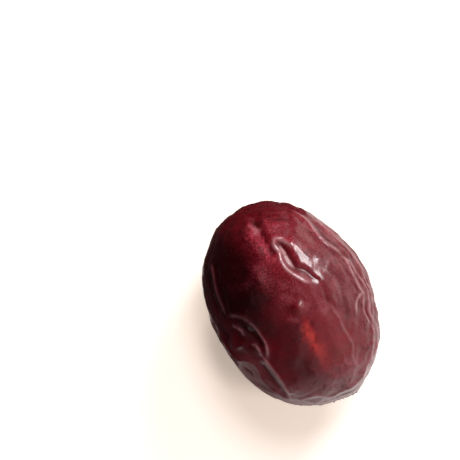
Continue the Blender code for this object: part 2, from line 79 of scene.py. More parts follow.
# Sizes from here on are in millimetres. A fold is a crest, or a furrow where its height is negative, that
# fades out over the widths "left" and "right" of its route, as seen from above along the route
Fold = namedtuple("Fold", "name height left right route")
FOLDS = (
    Fold("hook rim", 0.30, 0.8, 1.3, (
        (7.6, 12.6), (6.9, 14.4), (6.1, 15.9), (5.3, 17.0), (4.4, 17.6), (3.5, 17.4), (3.0, 16.6),
        (3.2, 15.4), (3.6, 14.2), (3.4, 12.8), (3.1, 11.6), (3.1, 10.4), (3.4, 8.6), (4.1, 6.6), (5.0, 4.9),
        (6.2, 3.1), (7.8, 1.6))),
    Fold("hook bank", 0.17, 2.4, 1.2, (
        (12.0, 7.0), (10.9, 7.7), (10.0, 9.2), (9.2, 11.2), (8.6, 13.0), (7.9, 14.8), (7.0, 16.4))),
    Fold("hook step", 0.10, 0.3, 0.45, (
        (4.1, 16.2), (4.4, 15.0), (4.75, 13.5), (4.95, 12.0), (5.05, 10.2), (5.15, 8.6), (5.6, 7.4))),
    Fold("crown bank", 0.34, 1.0, 1.8, ((3.6, 24.4), (3.8, 21.0), (3.4, 18.8))),
    Fold("crown crest", 0.26, 1.2, 1.2, ((-1.4, 25.0), (-1.7, 20.0), (-1.9, 15.0))),
    Fold("cross furrow", -0.40, 0.9, 1.0, (
        (4.2, 23.2), (6.0, 22.8), (8.0, 22.3), (9.8, 21.5), (11.6, 20.2))),
    Fold("cross bank", 0.26, 1.2, 1.2, ((4.0, 21.4), (6.0, 21.2), (8.4, 20.6), (10.2, 19.4))),
    Fold("upper cross bank", 0.22, 1.1, 1.1, ((4.6, 24.6), (7.0, 24.5), (9.4, 23.8), (11.8, 22.4))),
    Fold("upper long crease", -0.30, 0.7, 0.9, (
        (10.4, 1.2), (9.8, -0.8), (9.3, -2.8), (9.1, -4.8), (9.3, -6.8))),
    Fold("long seam", 0.15, 0.5, 0.9, (
        (9.2, -5.6), (9.5, -8.0), (9.7, -11.0), (9.7, -15.0), (9.6, -19.0), (8.3, -21.5), (7.6, -25.0))),
    Fold("shoulder edge", 0.18, 1.8, 2.2, ((11.2, 7.6), (12.8, 6.6), (14.4, 5.8), (15.8, 3.2))),
    Fold("rim a", 0.52, 0.75, 0.75, (
        (12.6, 23.2), (14.0, 21.0), (14.8, 19.5), (15.3, 17.5), (15.7, 15.0), (16.2, 12.5), (16.8, 10.0),
        (17.5, 8.0), (18.7, 4.6))),
    Fold("rim a floor", -0.45, 1.0, 1.0, (
        (16.6, 18.0), (17.2, 14.6), (18.0, 11.4), (18.9, 8.0), (19.6, 5.4))),
    Fold("rim b", 0.50, 0.8, 0.8, (
        (17.6, 17.4), (18.5, 14.6), (19.6, 11.6), (20.4, 8.8), (20.9, 6.0), (21.2, 3.0), (21.4, 0.0),
        (21.2, -2.4))),
    Fold("rim c", 0.48, 0.7, 0.7, (
        (18.7, 4.8), (18.6, 2.0), (18.4, -0.6), (18.5, -3.0), (18.7, -5.4), (18.9, -7.2), (18.0, -9.2),
        (17.2, -11.0), (16.7, -13.2), (16.9, -16.0))),
    Fold("rim d", 0.45, 0.7, 0.7, (
        (18.9, 4.0), (19.4, 0.6), (19.7, -2.6), (20.1, -5.4), (19.9, -8.4), (19.0, -10.8), (18.0, -13.2),
        (17.6, -16.4))),
    Fold("rim d floor", -0.35, 0.8, 0.8, ((18.4, -10.8), (17.5, -12.8), (17.3, -15.4))),
    Fold("rim e", 0.45, 0.8, 0.8, (
        (21.3, -1.6), (20.9, -4.4), (20.8, -7.4), (20.2, -10.2), (18.9, -13.0), (18.2, -15.2))),
    Fold("right arc", 0.32, 1.1, 0.9, (
        (14.7, -12.4), (15.2, -10.4), (16.3, -8.7), (17.6, -7.7), (18.9, -7.2))),
    Fold("low rim", 0.45, 0.9, 0.9, (
        (17.2, -15.8), (15.8, -18.6), (14.0, -21.3), (11.8, -23.8), (9.0, -26.0), (6.6, -27.6), (3.6, -28.2),
        (0.4, -28.5), (-2.2, -28.5), (-3.8, -27.6), (-5.6, -26.0), (-8.6, -25.2), (-11.6, -24.2))),
    Fold("outer low rim", 0.35, 0.8, 0.8, ((18.0, -16.6), (16.4, -19.4), (14.6, -22.0), (12.4, -24.2))),
    Fold("tip floor", -0.26, 1.0, 1.0, (
        (10.4, -26.4), (7.6, -28.3), (4.0, -29.2), (0.4, -29.4), (-3.2, -29.2), (-6.6, -27.8))),
    Fold("left crease", -0.42, 0.8, 1.0, (
        (-13.2, 19.6), (-14.3, 16.6), (-15.1, 13.6), (-15.7, 11.0), (-16.3, 8.0), (-16.9, 5.0),
        (-17.3, 2.4))),
    Fold("left bulge", 0.42, 0.8, 0.7, (
        (-14.4, 19.6), (-15.5, 16.4), (-16.3, 13.4), (-16.9, 10.6), (-17.4, 7.8), (-17.9, 4.8))),
    Fold("outer left furrow", -0.30, 1.0, 1.0, ((-16.4, 17.4), (-17.8, 13.0), (-18.8, 9.0), (-19.3, 5.4))),
    Fold("loop rim", 0.42, 0.65, 1.4, (
        (-17.8, 4.8), (-16.2, 4.1), (-14.8, 3.2), (-13.6, 1.8), (-12.9, -0.2), (-12.5, -2.4), (-12.3, -4.6),
        (-12.1, -7.2), (-12.4, -9.4), (-13.5, -11.2))),
    Fold("loop floor", -0.80, 1.6, 1.0, (
        (-16.4, 1.8), (-15.2, -0.8), (-14.3, -3.6), (-13.7, -6.4), (-13.6, -8.8))),
    Fold("loop crest", 0.35, 0.7, 0.7, ((-17.4, 2.2), (-16.7, 0.8), (-16.1, -0.8), (-16.3, -2.6))),
    Fold("lower loop crest", 0.30, 0.7, 0.7, ((-15.9, -5.6), (-14.9, -6.4), (-14.4, -8.2), (-14.5, -10.0))),
    Fold("long rim", 0.45, 0.8, 1.5, (
        (-14.4, -9.2), (-13.8, -11.6), (-13.1, -14.5), (-12.5, -17.0), (-12.0, -19.6), (-11.8, -22.2),
        (-11.9, -24.4))),
    Fold("long floor", -0.70, 1.3, 0.9, (
        (-15.4, -10.4), (-15.0, -13.4), (-14.2, -16.6), (-13.4, -19.6), (-12.8, -22.6))),
    Fold("left shelf", 0.55, 1.6, 1.6, ((-20.8, -3.4), (-18.8, -4.2), (-16.6, -4.4))),
    Fold("left branch", 0.42, 1.2, 1.1, (
        (-21.4, -6.2), (-20.2, -7.7), (-18.6, -8.8), (-17.2, -10.2), (-16.6, -12.4), (-16.5, -15.0),
        (-15.6, -18.0), (-13.9, -21.0), (-12.2, -23.8))),
    Fold("left pit", -0.55, 1.1, 1.1, ((-20.2, -9.4), (-19.3, -11.6), (-18.3, -14.0))),
    Fold("low left crest", 0.34, 1.2, 1.2, ((-19.9, -13.6), (-18.0, -16.6), (-16.0, -18.9), (-14.2, -21.2))),
    Fold("left notch", -0.70, 1.6, 1.6, ((-19.4, 0.4), (-21.2, -1.2), (-21.8, -2.4))),
    Fold("upper wave", 0.30, 2.0, 1.6, ((-4.8, 15.0), (-4.9, 11.0), (-5.4, 7.0), (-6.0, 3.0))),
    Fold("left wave", 0.25, 2.2, 2.2, ((-8.6, 12.0), (-9.6, 6.0), (-9.4, 1.0))),
    Fold("lower wave", 0.16, 2.0, 2.0, ((5.0, -7.0), (5.4, -12.0), (5.0, -17.0))),
)

# A groove has straight walls. Its depth and the widths of its two walls are given at equal steps along the
# route, "rounding" is the radius of its two shoulders, and over the lengths "fades" its two ends run out
Groove = namedtuple("Groove", "name depth left right rounding fades route")
GROOVES = (
    Groove(
        "hook groove",
        depth=(0.75, 0.9, 0.82, 0.62, 0.22),
        left=(1.5, 2.1, 2.2, 1.3, 0.4),
        right=(1.0, 1.7, 2.0, 2.2, 0.6),
        rounding=(0.20, 0.48),
        fades=(1.4, 0.8),
        route=(
            (4.4, 17.2), (4.9, 15.6), (5.2, 13.6), (5.3, 12.0), (5.4, 10.2), (5.6, 8.5), (6.3, 7.2),
            (7.4, 6.4), (8.3, 5.0), (8.9, 3.2), (10.2, 1.0))),
    Groove(
        "crown groove",
        depth=(0.6, 0.7, 0.6),
        left=(1.9, 1.9, 1.7),
        right=(2.6, 2.9, 2.4),
        rounding=(0.35, 0.45),
        fades=(1.3, 1.5),
        route=((1.2, 25.0), (1.35, 22.0), (1.45, 19.0), (1.8, 15.6), (2.8, 13.2))),
)

# A hollow, or a bump where its depth is negative: its middle as seen from EYE, its radius across and along
# the fruit, and its depth
Hollow = namedtuple("Hollow", "x y across along depth")
HOLLOWS = (
    Hollow(0.9, -2.5, 1.7, 1.6, -0.78),
    Hollow(11.9, -2.2, 2.1, 2.6, -0.42),
    Hollow(12.4, 4.2, 2.2, 2.4, 0.28),
    Hollow(-7.6, 17.5, 3.6, 4.2, 0.30),
    Hollow(-8.5, -4.5, 3.4, 5.0, 0.16),
    Hollow(3.0, -22.0, 5.5, 3.0, 0.22),
    Hollow(-5.5, -19.5, 3.6, 4.6, 0.22),
    Hollow(14.0, 12.0, 1.8, 3.4, 0.20),
    Hollow(13.2, -6.5, 2.4, 3.4, 0.22),
    Hollow(4.2, -4.8, 2.0, 1.6, 0.16),
)

ROUTE_STEP = 0.8
CREST_ROUNDING = 0.16
PINCHED_UNDER, PINCH_WIDTH = 1.0, 0.42  # crests narrower than the first are pinched to a line this wide
FOLD_REACH, GROOVE_REACH = 6.0, 2.2  # how far from a route they are worked out, in widths
# A fold's ends run out over this share of its length, and over LONGEST_FADE at most
FADE_SHARE, LONGEST_FADE = 0.3, 3.0
FOLD_TAPER, GROOVE_TAPER = (-0.12, 0.88), (-0.05, 1.0)  # where height sets in and is full, in fades

# The dry knob's edge, raised rim, sunken middle and colour, in the knob's own radii and heights
KNOB_EDGE = (0.55, 1.25)
RIM_HEIGHT, RIM_WIDTH = 0.30, 0.30
PIT_DEPTH, PIT_WIDTH = 0.25, 0.50
SCAR_EDGE = (1.1, 1.5)

# A smooth random field, and the length over which it changes
Noise = namedtuple("Noise", "seed size")
WANDER = Noise(seed=1, size=9.0)
QUIVER = Noise(seed=2, size=3.2)
ROUTE_WANDER, ROUTE_QUIVER = 0.3, 0.2  # how far the two fields move a laid fold off its route
SWELL, SWELL_HEIGHT = Noise(seed=5, size=16.0), 0.8
RIPPLE, RIPPLE_HEIGHT = Noise(seed=6, size=7.0), 0.30
MEAN_SINK = 0.18  # how far the skin lies under the egg where nothing else lifts or sinks it

# How far the outline seen from above stands out from the egg, at some angles in degrees from +X
GIRTH = (
    (-160, 0.4), (-140, 1.5), (-120, 1.5), (-100, 1.1), (-80, 1.2), (-60, 1.0), (-40, 0.7), (-10, 0.5),
    (20, 0.1), (40, -1.0), (60, -0.4), (90, 0.0), (140, 0.0), (170, 0.1))
GIRTH_EASE = (-12, -6, 0, 6, 12)  # the angles over which it is averaged

# Net of wrinkles on the sides and the underside: long cells between crests that run from end to end
Net = namedtuple("Net", "seed around rows crest height drift")
COARSE_NET = Net(seed=11, around=16, rows=5, crest=0.20, height=1.10, drift=1.0)
FINE_NET = Net(seed=23, around=29, rows=9, crest=0.28, height=0.30, drift=1.6)
NET_WANDER, NET_QUIVER = 0.55, 0.16  # drift of the cells, in cells
CELL_STRAY_AROUND, CELL_STRAY_ALONG = 0.42, 0.45  # how far a cell's middle strays from its place, in cells
CREST_FLATTENING = 0.03  # in cells
BEND_EASE = 0.35  # the larger, the gentler the net bends at the middle of the fruit
STRENGTH, STRENGTH_MEAN, STRENGTH_SPREAD = Noise(seed=3, size=6.0), 0.62, 0.95
STRENGTH_RANGE = (0.10, 1.15)

# Share of the net that shows on the upper side and towards the two ends, and the angles in degrees, from the
# top or from the middle of the fruit, over which each share sets in or fades
UPPER_SHARE, SIDE_ANGLES = 0.10, (78, 116)
END_SHARE, END_ANGLES = 0.25, (52, 68)
KNOB_SHARE, KNOB_ANGLES = 0.10, (58, 82)
RESTING_FADE = (4.0, 14.0)  # from the middle of the flat spot, over which the folds set in

# Crumpled skin, which sets in towards the blossom end between these Y values, and the skin's fine peel
CRUMPLE, CRUMPLE_HEIGHT, CRUMPLE_ALONG = Noise(seed=7, size=2.6), 0.10, (13.0, 25.0)
PEEL, PEEL_HEIGHT = Noise(seed=8, size=1.5), 0.045
# Soft unevenness, whose height goes from the first value to the second between these X values
UNEVEN, UNEVEN_HEIGHT, UNEVEN_ACROSS = Noise(seed=9, size=3.4), (0.20, 0.28), (-6.0, 8.0)
CALM = Hollow(11.5, 10.0, 8.5, 10.0, 1.0)  # round here the skin is smooth
WRINKLES = Net(seed=31, around=36, rows=12, crest=0.20, height=0.26, drift=2.0)
WRINKLED_FROM_TOP = (26, 50)  # in degrees, to the side with the rims
WRINKLED_TO_STEM = (15.0, 22.0)  # from the middle of the fruit


def smoothstep(low, high, value):
    share = np.clip((value - low) / (high - low), 0.0, 1.0)
    return share * share * (3 - 2 * share)


def directions(vectors):
    """The vectors with the length 1."""
    return vectors / np.linalg.norm(vectors, axis=1)[:, None]


def noise_field(points, kind):
    """Three smooth random numbers at each point, from -1 to 1."""
    noise.seed_set(kind.seed)
    return np.array([noise.noise_vector(Vector(point) / kind.size) for point in points])


class FruitForm:
    """The fruit's skin as a formula, in millimetres: an egg of the given radii, sunk into folds."""

    def __init__(self, radii):
        self.radii = radii

    def normals(self, unit):
        """Which way the egg's surface faces at its points unit * radii."""
        return directions(unit / self.radii)

    def seen_on_egg(self, places):
        """Points of the egg that look from EYE as if they were at (x, y) in its middle plane."""
        places = np.asarray(places, float)
        flat = np.column_stack([places, np.zeros(len(places))])
        eye = EYE / self.radii
        sight = flat / self.radii - eye
        # the line of sight meets the unit sphere that the egg is once each axis is divided by its radius
        a = (sight * sight).sum(axis=1)
        b = sight @ eye
        c = eye @ eye - 1
        root = np.sqrt(np.clip(b * b - a * c, 0.0, None))
        meets = eye + ((-b - root) / a)[:, None] * sight
        return directions(meets) * self.radii

    def smooth_route(self, route):
        """The route as a Catmull-Rom curve with a point every ROUTE_STEP or so."""
        stops = np.array(route, float)
        stops = np.vstack([2 * stops[0] - stops[1], stops, 2 * stops[-1] - stops[-2]])
        curve = []
        for before, start, end, after in zip(stops, stops[1:], stops[2:], stops[3:]):
            count = max(2, int(np.linalg.norm(end - start) / ROUTE_STEP))
            for t in np.arange(count) / count:
                curve.append(0.5 * (
                    2 * start + (end - before) * t + (2 * before - 5 * start + 4 * end - after) * t ** 2
                    + (3 * start - before - 3 * end + after) * t ** 3))
        curve.append(stops[-2])
        return self.seen_on_egg(curve)

    def along_route(self, points, normals, route, reach):
        """The points near a route: index, distance to it, whether right of it and way along it.

        The last value is the length of the route.
        """
        path = self.smooth_route(route)
        steps = np.diff(path, axis=0)
        lengths = np.linalg.norm(steps, axis=1)
        starts = np.concatenate([[0], np.cumsum(lengths)])
        near = ((points > path.min(axis=0) - reach) & (points < path.max(axis=0) + reach)).all(axis=1)
        index = np.nonzero(near)[0]
        distance = np.full(len(index), np.inf)
        way = np.zeros(len(index))
        right = np.zeros(len(index), bool)
        for path_point, step, length, start in zip(path, steps, lengths, starts):
            offset = points[index] - path_point
            share = np.clip(offset @ step / length ** 2, 0, 1)
            offset -= share[:, None] * step
            gap = np.linalg.norm(offset, axis=1)
            closer = gap < distance
            distance[closer] = gap[closer]
            way[closer] = start + share[closer] * length
            rightward = np.cross(step, normals[index][closer])
            right[closer] = (offset[closer] * rightward).sum(axis=1) > 0
        return index, distance, right, way, starts[-1]

    def fold_relief(self, points, normals, fold):
        """The fold's height at each point, and 1 on the line that its crest is pinched to."""
        reach = FOLD_REACH * max(fold.left, fold.right)
        index, distance, right, way, length = self.along_route(points, normals, fold.route, reach)
        fade = min(FADE_SHARE * length, LONGEST_FADE)
        taper = smoothstep(*FOLD_TAPER, np.minimum(way, length - way) / fade)
        rounded = np.hypot(distance, CREST_ROUNDING) - CREST_ROUNDING
        relief = np.zeros((2, len(points)))
        relief[0, index] = fold.height * taper * np.exp(-rounded / np.where(right, fold.right, fold.left))
        if fold.height > 0 and min(fold.left, fold.right) < PINCHED_UNDER:
            relief[1, index] = taper * np.exp(-(distance / PINCH_WIDTH) ** 2)
        return relief

    def groove_relief(self, points, normals, groove):
        reach = GROOVE_REACH * max(*groove.left, *groove.right)
        index, distance, right, way, length = self.along_route(points, normals, groove.route, reach)
        depth, left_width, right_width = (
            np.interp(way / length, np.linspace(0, 1, len(sizes)), sizes)
            for sizes in (groove.depth, groove.left, groove.right))
        width = np.where(right, right_width, left_width)
        taper = smoothstep(*GROOVE_TAPER, way / groove.fades[0])
        taper *= smoothstep(*GROOVE_TAPER, (length - way) / groove.fades[1])
        rounded = np.hypot(distance, CREST_ROUNDING)
        shoulder = np.where(right, groove.rounding[1], groove.rounding[0])
        wall = np.logaddexp(0.0, (width - rounded) / shoulder) * shoulder / width
        relief = np.zeros(len(points))
        relief[index] = -depth * taper * wall
        return relief

    def hollow_relief(self, points, hollow):
        """A soft oval hollow in the upper side, or a bump on it."""
        middle = self.seen_on_egg([(hollow.x, hollow.y)])[0]
        across = (points[:, 0] - middle[0]) / hollow.across
        along = (points[:, 1] - middle[1]) / hollow.along
        return -hollow.depth * np.exp(-across ** 2 - along ** 2) * (points[:, 2] > 0)

    def from_end(self, points, end):
        """How far the points are from the middle of one end of the fruit."""
        middle = np.array([0.0, end.side * math.cos(end.tilt), math.sin(end.tilt)]) * self.radii
        return np.linalg.norm(points - middle, axis=1)

    def end_relief(self, points, end):
        """The dimple at one end of the fruit, and the dry knob in it with its raised rim."""
        reach = self.from_end(points, end)
        dimple = -end.depth * np.exp(-(reach / end.dimple) ** 2)
        inner, outer = KNOB_EDGE
        knob = 1 - smoothstep(inner * end.knob, outer * end.knob, reach)
        rim = RIM_HEIGHT * np.exp(-((reach - end.knob) / (RIM_WIDTH * end.knob)) ** 2)
        pit = -PIT_DEPTH * np.exp(-(reach / (PIT_WIDTH * end.knob)) ** 2)
        return dimple + end.height * (knob + rim + pit)

    def girth_relief(self, unit, points):
        """The bulges that make the outline seen from above fuller or slimmer than the egg's."""
        azimuth = np.degrees(np.arctan2(points[:, 1], points[:, 0]))
        angles, heights = zip(*GIRTH)
        bulge = sum(np.interp(azimuth + ease, angles, heights, period=360) for ease in GIRTH_EASE)
        return bulge / len(GIRTH_EASE) * (1 - unit[:, 2] ** 2)

    def knob_share(self, points, end):
        """1 on the dry knob at one end of the fruit and 0 off it."""
        inner, outer = SCAR_EDGE
        return 1 - smoothstep(inner * end.knob, outer * end.knob, self.from_end(points, end))

    def swell_relief(self, points, calm):
        """The soft unevenness between the folds, the skin's peel and the crumpled blossom end."""
        uneven = np.interp(smoothstep(*UNEVEN_ACROSS, points[:, 0]), (0, 1), UNEVEN_HEIGHT)
        crumpled = smoothstep(*CRUMPLE_ALONG, points[:, 1])
        fields = (
            (SWELL, SWELL_HEIGHT), (RIPPLE, RIPPLE_HEIGHT), (PEEL, PEEL_HEIGHT * calm),
            (UNEVEN, uneven * calm), (CRUMPLE, CRUMPLE_HEIGHT * crumpled))
        return sum(height * noise_field(points, field)[:, 0] for field, height in fields)

    def relief(self, unit):
        """How far the skin stands out from the egg at each unit direction.

        The second value is the part of it that is folds, and the third is 1 on the lines of pinched crests.
        """
        points = unit * self.radii
        normals = self.normals(unit)
        wander = noise_field(points, WANDER)
        quiver = noise_field(points, QUIVER)
        moved = points + ROUTE_WANDER * wander + ROUTE_QUIVER * quiver
        from_top = np.abs(np.degrees(np.arctan2(unit[:, 0], unit[:, 2])))
        straight = straightened(unit)
        from_middle = np.abs(np.degrees(np.arcsin(straight[:, 1])))
        calm = 1 + self.hollow_relief(points, CALM)

        laid, pinches = sum(self.fold_relief(moved, normals, fold) for fold in FOLDS)
        laid += sum(self.groove_relief(moved, normals, groove) for groove in GROOVES)
        laid += sum(self.hollow_relief(points, hollow) for hollow in HOLLOWS)

        drift = NET_WANDER * wander[:, :2] + NET_QUIVER * quiver[:, :2]
        strength = STRENGTH_MEAN + STRENGTH_SPREAD * noise_field(points, STRENGTH)[:, 0]
        strength = np.clip(strength, *STRENGTH_RANGE)
        nets = sum(net.height * net_relief(straight, drift, strength, net) for net in (COARSE_NET, FINE_NET))
        share = UPPER_SHARE + (1 - UPPER_SHARE) * smoothstep(*SIDE_ANGLES, from_top)
        share = np.maximum(share, END_SHARE * smoothstep(*END_ANGLES, from_middle))
        nets *= share * (1 - (1 - KNOB_SHARE) * smoothstep(*KNOB_ANGLES, from_middle))
        wrinkled = smoothstep(*WRINKLED_FROM_TOP, from_top * np.sign(points[:, 0]))
        wrinkled = calm * np.maximum(wrinkled, smoothstep(*WRINKLED_TO_STEM, -points[:, 1]))
        laid += WRINKLES.height * wrinkled * net_relief(straight, drift, strength, WRINKLES)

        swell = self.swell_relief(points, calm)
        ends = self.end_relief(points, STEM) + self.end_relief(points, BLOSSOM)
        ends += self.girth_relief(unit, points)
        from_flat = np.where(unit[:, 2] > 0, math.inf, np.hypot(points[:, 0], points[:, 1]))
        resting = smoothstep(*RESTING_FADE, from_flat)
        return (laid + nets + swell) * resting + ends - MEAN_SINK, (laid + nets) * resting, pinches


def straightened(unit):
    """The directions after a smooth bend that brings the stem and the blossom onto the Y axis."""
    y = unit[:, 1]
    slope = -np.tan(np.where(y < 0, STEM.tilt, BLOSSOM.tilt))
    lifted = unit.copy()
    lifted[:, 2] += slope * y * y * (1 + BEND_EASE) / (np.abs(y) + BEND_EASE)
    return directions(lifted)


def net_relief(straight, drift, strength, net):
    """Height, from 0 to 1, of the crests between the cells of a net wrapped round the fruit's long axis."""
    draw = random.Random(net.seed)
    around = np.arctan2(straight[:, 0], straight[:, 2]) * net.around / (2 * math.pi)
    around += drift[:, 0] * net.drift
    along = np.arcsin(straight[:, 1]) * net.rows / math.pi + drift[:, 1] * net.drift
    nearest = np.full(len(straight), np.inf)
    second = np.full(len(straight), np.inf)
    for row in range(-1, net.rows + 1):
        for column in range(net.around):
            cell_around = column + 0.5 * (row % 2) + draw.uniform(-CELL_STRAY_AROUND, CELL_STRAY_AROUND)
            cell_along = row + 0.5 - net.rows / 2 + draw.uniform(-CELL_STRAY_ALONG, CELL_STRAY_ALONG)
            gap = (around - cell_around + net.around / 2) % net.around - net.around / 2
            distance = np.hypot(gap, along - cell_along)
            second = np.minimum(second, np.maximum(distance, nearest))
            nearest = np.minimum(nearest, distance)
    return strength * np.exp(-np.hypot(second - nearest, CREST_FLATTENING) / net.crest)


# Sizes and colours that a user may change

def colour_setting(name, description, default):
    return FloatVectorProperty(
        name=name, description=description, default=default, size=3, min=0.0, max=1.0, subtype="COLOR")


def amount_setting(name, description, default, unit="NONE"):
    return FloatProperty(name=name, description=description, default=default, min=0.0, unit=unit)


class PassionFruitSizes(bpy.types.PropertyGroup):
    half_width: amount_setting(
        "Half width", "From the fruit's middle to its side, under the folds",
        (NODE_HIGH.x - NODE_LOW.x - FOLDS_ADD.x) / 2, unit="LENGTH")
    half_length: amount_setting(
        "Half length", "From the fruit's middle to its end, under the folds",
        (NODE_HIGH.y - NODE_LOW.y - FOLDS_ADD.y) / 2, unit="LENGTH")
    half_height: amount_setting(
        "Half height", "From the fruit's middle to its top, under the folds",
        (NODE_HIGH.z - NODE_LOW.z + FLAT_SPOT_DEPTH - FOLDS_ADD.z) / 2, unit="LENGTH")
    fineness: IntProperty(
        name="Fineness", description="How often each side of the starting cube is halved",
        default=7, min=4, max=7)


class PassionFruitColours(bpy.types.PropertyGroup):
    deep: colour_setting("Deep red", "Most of the skin", (0.125, 0.0014, 0.0065))
    # The dark wine also paints the shade on the left side, in the loop and in the furrows
    dark: colour_setting("Dark wine", "The ripest patches of the skin", (0.012, 0.0002, 0.0004))
    bright: colour_setting("Bright red", "The skin of the blossom end", (0.100, 0.0004, 0.0035))
    blush: colour_setting("Blush", "The pale streak on the upper side", (0.42, 0.030, 0.024))
    # The freckle colour also paints the highlight on the crown and the sheen spots
    freckle_and_highlight: colour_setting("Freckles", "The fine pale dots", (0.34, 0.030, 0.050))
    # The wax colour is also the painted highlight on pinched crests, the hook's rim and the bump, and the
    # painted sheen of the veil and spots
    wax_and_sheen: colour_setting("Wax", "The bloom on crests and at the stem end", (0.36, 0.16, 0.17))
    scar: colour_setting("Dry scar", "The stem scar and the blossom tip", (0.135, 0.068, 0.034))


class PassionFruitStage(bpy.types.PropertyGroup):
    floor: colour_setting("Floor", "The pale card that the fruit lies on", (0.84, 0.82, 0.80))
    floor_glow: amount_setting("Floor glow", "How brightly the card is lit from below", 0.61)
    floor_spill: amount_setting("Floor spill", "The part of that glow that reaches the fruit", 0.13)
    key_power: amount_setting("Key light", "Power of the soft window light", 5.0, unit="POWER")
    overhead_power: amount_setting(
        "Overhead light", "Power of the light that casts the shadow", 4.4, unit="POWER")
    wall_power: amount_setting("Wall light", "Power of the glow at the side", 0.9, unit="POWER")
    sky: amount_setting("Surround", "Brightness of the room round the fruit", 1.0)


# Node trees

# A level that eases from "low" to "high" while a value goes from "start" to "end"
Ramp = namedtuple("Ramp", "start end low high", defaults=(0.0, 1.0))

# A soft pattern: its scale, in spots to a millimetre, how many finer layers it has and how rough they are
Pattern = namedtuple("Pattern", "scale detail roughness")

# A soft-edged oval patch, in millimetres from the origin
Patch = namedtuple("Patch", "centre radii softness")
PATCH_EDGE = Ramp(1.0, 0.0)
SPECK_EDGE = Ramp(1.25, 0.6)


def new_material(name):
    material = bpy.data.materials.new(name)
    material.use_nodes = True
    return material, material.node_tree.nodes["Principled BSDF"]


class Wiring:
    """Adds nodes to one tree and joins them. A value that is a socket is linked, and any other is set."""

    def __init__(self, tree):
        self.tree = tree

    def feed(self, socket, value):
        if isinstance(value, bpy.types.NodeSocket):
            self.tree.links.new(value, socket)
        else:
            socket.default_value = value

    def add(self, kind, settings=None, **inputs):
        node = self.tree.nodes.new("ShaderNode" + kind)
        for name, value in (settings or {}).items():
            setattr(node, name, value)
        for name, value in inputs.items():
            self.feed(node.inputs[name.replace("_", " ")], value)
        return node

    def math(self, operation, *values, clamp=False):
        node = self.add("Math", {"operation": operation, "use_clamp": clamp})
        for socket, value in zip(node.inputs, values):
            self.feed(socket, value)
        return node.outputs[0]

    def vector(self, operation, *values, output="Vector"):
        node = self.add("VectorMath", {"operation": operation})
        for socket, value in zip(node.inputs, values):
            self.feed(socket, value)
        return node.outputs[output]

    def product(self, value, *factors):
        for factor in factors:
            value = self.math("MULTIPLY", value, factor)
        return value

    def ramp(self, value, kind):
        node = self.add("MapRange", {"interpolation_type": "SMOOTHSTEP"}, Value=value)
        ends = kind if kind.start < kind.end else (kind.end, kind.start, kind.high, kind.low)
        for name, end in zip(("From Min", "From Max", "To Min", "To Max"), ends):
            node.inputs[name].default_value = end
        return node.outputs[0]

    def pattern(self, coordinates, kind, output="Fac"):
        node = self.add(
            "TexNoise", Vector=coordinates, Scale=kind.scale, Detail=kind.detail, Roughness=kind.roughness)
        return node.outputs[output]

    def attribute(self, name):
        return self.add("Attribute", {"attribute_name": name}).outputs["Fac"]

    def millimetres(self):
        """The place on the object, in millimetres from its origin."""
        scaled = self.vector("SCALE", self.add("TexCoord").outputs["Object"])
        scaled.node.inputs["Scale"].default_value = 1 / MM
        return scaled

    def mix(self, share, under, over):
        node = self.add("Mix", {"data_type": "RGBA"})
        for socket, value in ((node.inputs[0], share), (node.inputs[6], under), (node.inputs[7], over)):
            self.feed(socket, value)
        return node.outputs[2]

    def group(self, tree, output, **inputs):
        return self.add("Group", {"node_tree": tree}, **inputs).outputs[output]

    def patch(self, place, patch):
        tree = bpy.data.node_groups.get("Patch") or patch_group()
        return self.group(
            tree, "Mask", Vector=place, Centre=patch.centre, Radii=patch.radii, Softness=patch.softness)


def new_group(name, inputs, output):
    """An empty node group: its tree, its inputs' sockets by name, and the socket that its result goes to."""
    tree = bpy.data.node_groups.new(name, "ShaderNodeTree")
    for socket_name, kind in inputs.items():
        tree.interface.new_socket(socket_name, in_out="INPUT", socket_type="NodeSocket" + kind)
    tree.interface.new_socket(output, in_out="OUTPUT", socket_type="NodeSocketFloat")
    entry = tree.nodes.new("NodeGroupInput")
    leave = tree.nodes.new("NodeGroupOutput")
    return tree, entry.outputs, leave.inputs[output]


def patch_group():
    """A soft-edged oval patch: 1 inside it and 0 outside."""
    tree, given, result = new_group(
        "Patch", {"Vector": "Vector", "Centre": "Vector", "Radii": "Vector", "Softness": "Float"}, "Mask")
    wiring = Wiring(tree)
    offset = wiring.vector("SUBTRACT", given["Vector"], given["Centre"])
    reach = wiring.vector("LENGTH", wiring.vector("DIVIDE", offset, given["Radii"]), output="Value")
    edge = wiring.math("SUBTRACT", reach, wiring.math("SUBTRACT", 1.0, given["Softness"]))
    share = wiring.math("DIVIDE", edge, wiring.math("MULTIPLY", 2.0, given["Softness"]), clamp=True)
    tree.links.new(wiring.ramp(share, PATCH_EDGE), result)
    return tree


def specks_group():
    """Small round specks strewn over the surface: 1 on a speck and 0 off it."""
    tree, given, result = new_group(
        "Specks", {"Vector": "Vector", "Spacing": "Float", "Radius": "Float", "Share": "Float"}, "Mask")
    wiring = Wiring(tree)
    scale = wiring.math("DIVIDE", 1.0, given["Spacing"])
    cells = wiring.add("TexVoronoi", {"feature": "F1"}, Vector=given["Vector"], Scale=scale)
    size = wiring.math("DIVIDE", given["Radius"], given["Spacing"])
    near = wiring.math("DIVIDE", cells.outputs["Distance"], size)
    chosen = wiring.math("LESS_THAN", wiring.math("FRACT", cells.outputs["Color"]), given["Share"])
    tree.links.new(wiring.math("MULTIPLY", wiring.ramp(near, SPECK_EDGE), chosen), result)
    return tree


# The skin

